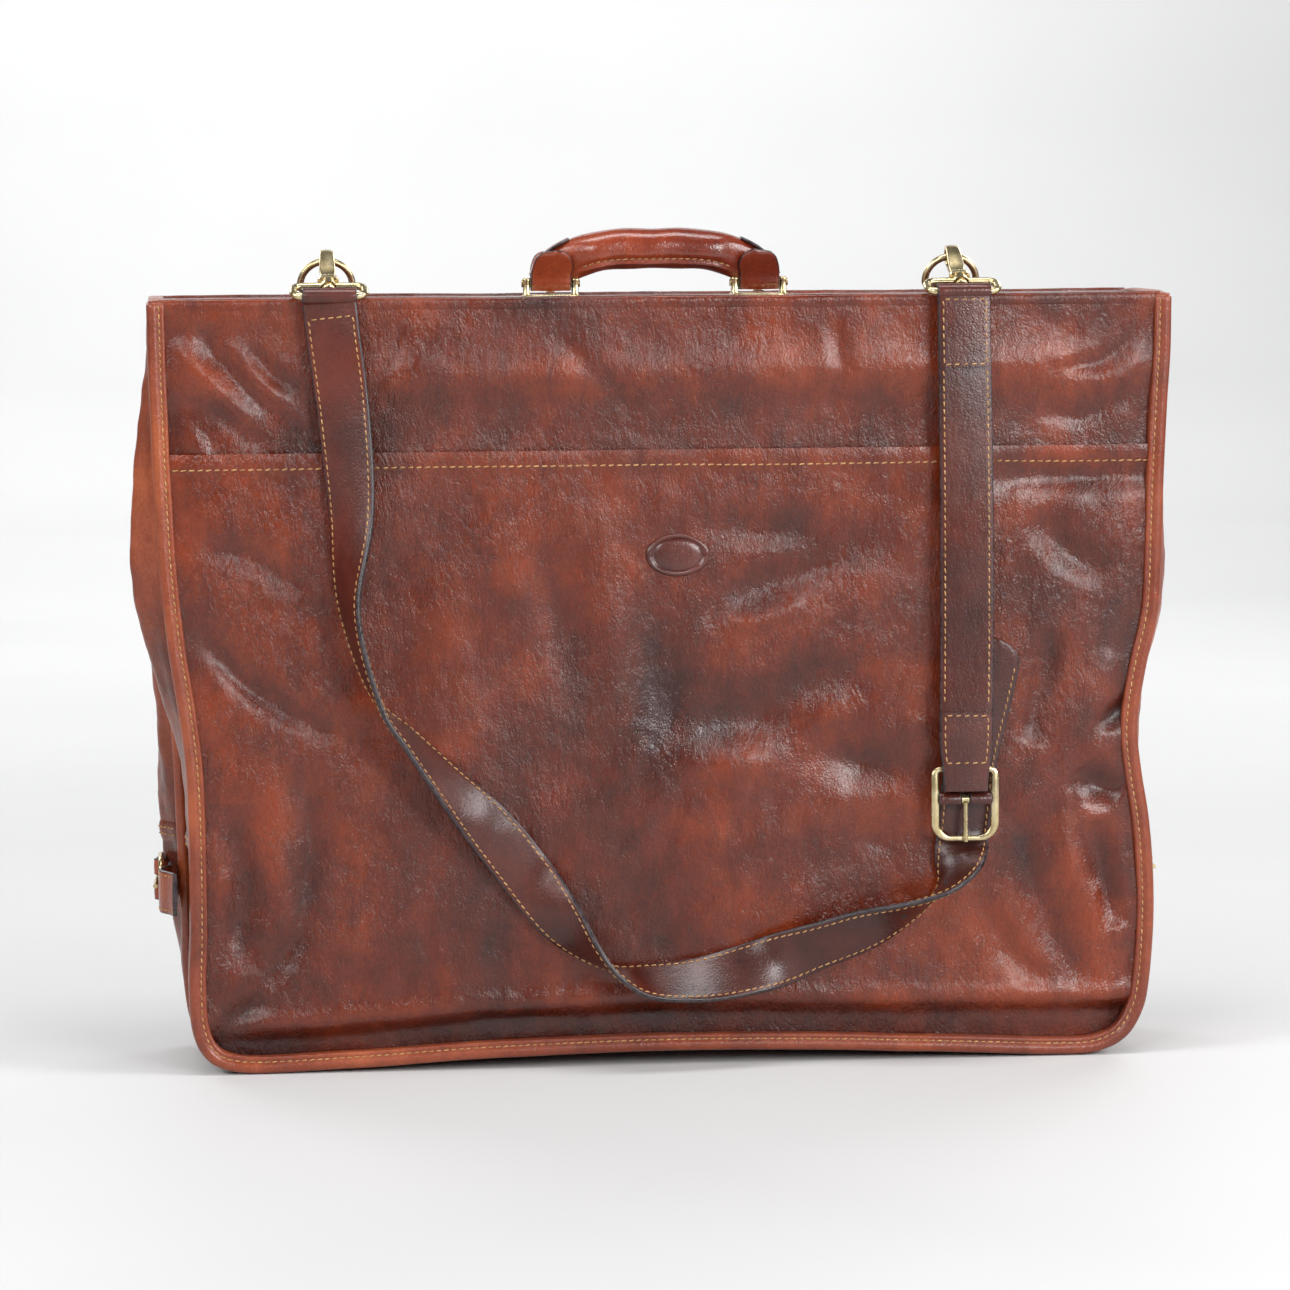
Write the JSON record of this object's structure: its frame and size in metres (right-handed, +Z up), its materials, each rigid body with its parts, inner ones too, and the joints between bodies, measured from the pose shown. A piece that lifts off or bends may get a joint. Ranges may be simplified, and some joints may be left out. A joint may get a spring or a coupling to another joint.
{
  "type": "garment bag",
  "caption": "Bifold leather garment bag: two hollow halves hang from a padded-handle spine, with slip pocket, side buckles and a clip-on shoulder strap.",
  "frame": {"origin": "centre of the bounding box, on the floor", "axes": "+Z up, the pocket side faces -Y, +X to the right of someone facing the pocket side"},
  "size_m": [0.6024, 0.1447, 0.4845],
  "materials": {
    "body_leather": "glossy aged, pebbled grain",
    "binding_leather": "smooth glossy",
    "strap_leather": "waxed, stitched edges",
    "handle_leather": "polished",
    "lining": "woven lining",
    "brass": "satin antique",
    "board": "stiffener board",
    "zip_chain": "zip chain"
  },
  "bodies": {
    "front_half": {"front_binding": "binding_leather", "front_board": "board", "front_gusset_base": "binding_leather", "front_gusset_left": "binding_leather", "front_gusset_right": "binding_leather", "front_inner_binding": "binding_leather", "front_inner_panel": "body_leather", "front_lining": "lining", "front_panel": "body_leather", "front_pocket": "body_leather", "front_zipper": "zip_chain", "badge": "body_leather", "side_strap_left": "strap_leather", "side_strap_right": "strap_leather"},
    "front_slider": {"front_zip_slider": "brass"},
    "spine": {"spine_panel": "body_leather", "spine_board": "board", "handle_bracket_left": "brass", "handle_bracket_right": "brass", "handle_pins": "brass", "spine_rivets": "brass", "ring_tab_left": "strap_leather", "ring_tab_right": "strap_leather"},
    "rear_half": {"rear_binding": "binding_leather", "rear_board": "board", "rear_gusset_base": "binding_leather", "rear_gusset_left": "binding_leather", "rear_gusset_right": "binding_leather", "rear_inner_binding": "binding_leather", "rear_inner_panel": "body_leather", "rear_lining": "lining", "rear_panel": "body_leather", "rear_zipper": "zip_chain", "side_chape_left": "strap_leather", "side_chape_right": "strap_leather", "side_buckle_left": "brass", "side_buckle_right": "brass", "hanger_plate": "brass"},
    "rear_slider": {"rear_zip_slider": "brass"},
    "side_prong_left": {"side_prong_left": "brass"},
    "side_prong_right": {"side_prong_right": "brass"},
    "hanging_hook": {"hanging_hook": "brass"},
    "handle": {"handle_grip": "handle_leather", "handle_core": "board", "handle_loop_left": "handle_leather", "handle_loop_right": "handle_leather"},
    "ring_left": {"d_ring_left": "brass"},
    "ring_right": {"d_ring_right": "brass"},
    "strap": {"strap_long": "strap_leather", "strap_short": "strap_leather", "strap_buckle": "brass", "strap_link_left": "brass", "strap_link_right": "brass"},
    "strap_prong": {"strap_prong": "brass"},
    "hook_left": {"snap_hook_left": "brass"},
    "hook_right": {"snap_hook_right": "brass"},
    "gate_left": {"snap_gate_left": "brass"},
    "gate_right": {"snap_gate_right": "brass"}
  },
  "joints": [
    {"name": "front_fold", "type": "hinge", "parent": "front_half", "child": "spine", "pos_m": [0, -0.038, 0.443], "axis": [1, 0, 0], "range_deg": [0, 90]},
    {"name": "rear_fold", "type": "hinge", "parent": "spine", "child": "rear_half", "pos_m": [0, 0.072, 0.443], "axis": [1, 0, 0], "range_deg": [0, 90]},
    {"name": "handle_fold", "type": "hinge", "parent": "spine", "child": "handle", "pos_m": [0, 0.017, 0.4525], "axis": [1, 0, 0], "range_deg": [-72, 72]},
    {"name": "strap_lift", "type": "hinge", "parent": "ring_left", "child": "strap", "pos_m": [-0.192, -0.00316, 0.46691], "axis": [1, 0, 0], "range_deg": [-170, 0]},
    {"name": "strap_prong_swing", "type": "hinge", "parent": "strap", "child": "strap_prong", "pos_m": [0.172, -0.0505, 0.154], "axis": [1, 0, 0], "range_deg": [-90, 0]},
    {"name": "front_zip", "type": "slide", "parent": "front_half", "child": "front_slider", "axis": [0, 0, 1], "range_m": [0, 0.38]},
    {"name": "rear_zip", "type": "slide", "parent": "rear_half", "child": "rear_slider", "axis": [0, 0, 1], "range_m": [0, 0.38]},
    {"name": "hanging_hook_swing", "type": "hinge", "parent": "rear_half", "child": "hanging_hook", "pos_m": [0, 0.045, 0.014], "axis": [0, -1, 0], "range_deg": [0, 90]},
    {"name": "ring_left_tilt", "type": "hinge", "parent": "spine", "child": "ring_left", "pos_m": [-0.192, 0.003, 0.45], "axis": [1, 0, 0], "range_deg": [-90, 0]},
    {"name": "hook_left_swivel", "type": "hinge", "parent": "strap", "child": "hook_left", "pos_m": [-0.192, -0.03514, 0.45294], "axis": [0, 0.9164, 0.4003], "range_deg": [-6, 6]},
    {"name": "gate_left_press", "type": "hinge", "parent": "hook_left", "child": "gate_left", "pos_m": [-0.192, -0.01774, 0.45683], "axis": [1, 0, 0], "range_deg": [0, 14], "stiffness_Nm_per_rad": 0.02, "springref_deg": -11.46},
    {"name": "side_prong_left_swing", "type": "hinge", "parent": "rear_half", "child": "side_prong_left", "pos_m": [-0.29197, 0.041, 0.104], "axis": [0, 0, -1], "range_deg": [0, 90]},
    {"name": "ring_right_tilt", "type": "hinge", "parent": "spine", "child": "ring_right", "pos_m": [0.172, 0.003, 0.45], "axis": [1, 0, 0], "range_deg": [-90, 0]},
    {"name": "hook_right_swivel", "type": "hinge", "parent": "strap", "child": "hook_right", "pos_m": [0.172, -0.03514, 0.45294], "axis": [0, 0.9164, 0.4003], "range_deg": [-6, 6]},
    {"name": "gate_right_press", "type": "hinge", "parent": "hook_right", "child": "gate_right", "pos_m": [0.172, -0.01774, 0.45683], "axis": [1, 0, 0], "range_deg": [0, 14], "stiffness_Nm_per_rad": 0.02, "springref_deg": -11.46},
    {"name": "side_prong_right_swing", "type": "hinge", "parent": "rear_half", "child": "side_prong_right", "pos_m": [0.29197, 0.041, 0.104], "axis": [0, 0, 1], "range_deg": [0, 90]}
  ],
  "couplings": [
    {"joint": "ring_left_tilt", "follows": "front_fold", "ratio": -1},
    {"joint": "ring_right_tilt", "follows": "front_fold", "ratio": -1}
  ]
}
